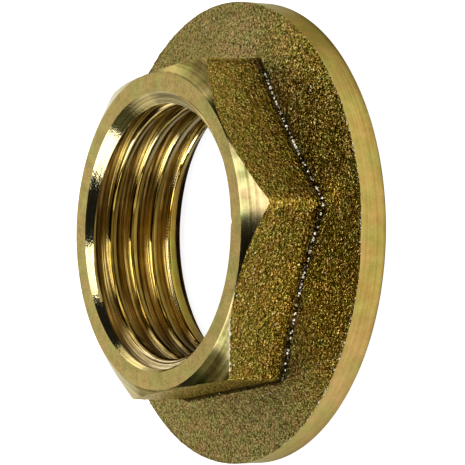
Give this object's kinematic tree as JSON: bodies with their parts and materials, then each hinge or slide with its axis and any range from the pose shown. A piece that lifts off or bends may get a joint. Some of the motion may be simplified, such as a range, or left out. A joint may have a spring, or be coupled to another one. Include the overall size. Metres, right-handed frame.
{
  "type": "lock nut",
  "caption": "Flanged hexagon lock nut in forged brass, with a turned rim, front face and corner chamfer, and a pipe-thread bore countersunk at both ends.",
  "frame": {"origin": "centre of the flange's flat back face, on the thread axis", "axes": "+Z along the thread axis from the back face to the hexagon's front face; +X through a corner of the hexagon"},
  "size_m": [0.0342, 0.0342, 0.0086],
  "materials": {
    "brass": "grit-blasted forging on the flats and the flange's sloping face, turned on the front face, chamfer, rim, back face and thread"
  },
  "bodies": {
    "root": {"lock_nut": "brass"}
  },
  "joints": []
}
